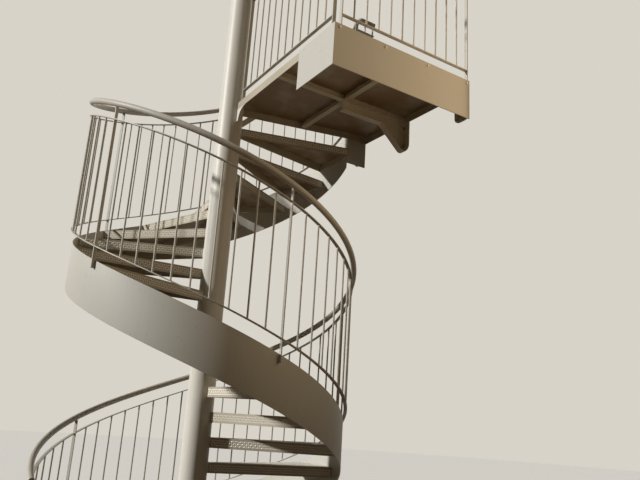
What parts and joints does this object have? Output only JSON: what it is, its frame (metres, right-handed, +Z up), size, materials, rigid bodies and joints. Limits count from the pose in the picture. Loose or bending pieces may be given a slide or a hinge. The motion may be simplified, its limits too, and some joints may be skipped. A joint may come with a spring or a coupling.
{
  "type": "spiral fire escape stair",
  "caption": "Spiral fire escape stair of grey painted steel: wedge treads round a column, curved outer stringer, baluster guard with a round handrail, and a railed landing fixed to a wall.",
  "frame": {"origin": "centre of the underside of the base plate, on the axis of the column", "axes": "+X along the wall, to the right when facing it; +Y into the wall; +Z up"},
  "size_m": [2.8835, 2.5474, 5.7415],
  "materials": {
    "base_steel": "satin, weathered",
    "column_paint": "satin light grey paint",
    "tread_plate": "satin grey paint on tear plate",
    "plate_paint": "satin light grey paint",
    "underside_paint": "satin grey paint",
    "guard_paint": "satin light grey paint"
  },
  "bodies": {
    "root": {"base_plate": "base_steel", "column": "column_paint", "column_cap": "column_paint", "tread_01": "tread_plate", "tread_02": "tread_plate", "tread_03": "tread_plate", "tread_04": "tread_plate", "tread_05": "tread_plate", "tread_06": "tread_plate", "tread_07": "tread_plate", "tread_08": "tread_plate", "tread_09": "tread_plate", "tread_10": "tread_plate", "tread_11": "tread_plate", "tread_12": "tread_plate", "tread_13": "tread_plate", "tread_14": "tread_plate", "tread_15": "tread_plate", "tread_16": "tread_plate", "tread_17": "tread_plate", "tread_18": "tread_plate", "tread_19": "tread_plate", "tread_20": "tread_plate", "tread_21": "tread_plate", "tread_22": "tread_plate", "stringer_1": "plate_paint", "stringer_2": "plate_paint", "stringer_3": "plate_paint", "guard_1": "guard_paint", "guard_2": "guard_paint", "guard_3": "guard_paint", "guard_4": "guard_paint", "guard_5": "guard_paint", "guard_6": "guard_paint", "guard_7": "guard_paint", "guard_8": "guard_paint", "handrail_1": "guard_paint", "handrail_2": "guard_paint", "handrail_3": "guard_paint", "landing_deck": "tread_plate", "landing_fascia": "plate_paint", "landing_beams": "underside_paint", "corner_plate": "plate_paint", "column_brackets": "column_paint", "landing_guard_front": "guard_paint", "landing_guard_side": "guard_paint", "landing_handrail": "guard_paint", "end_guard": "guard_paint"}
  },
  "joints": []
}
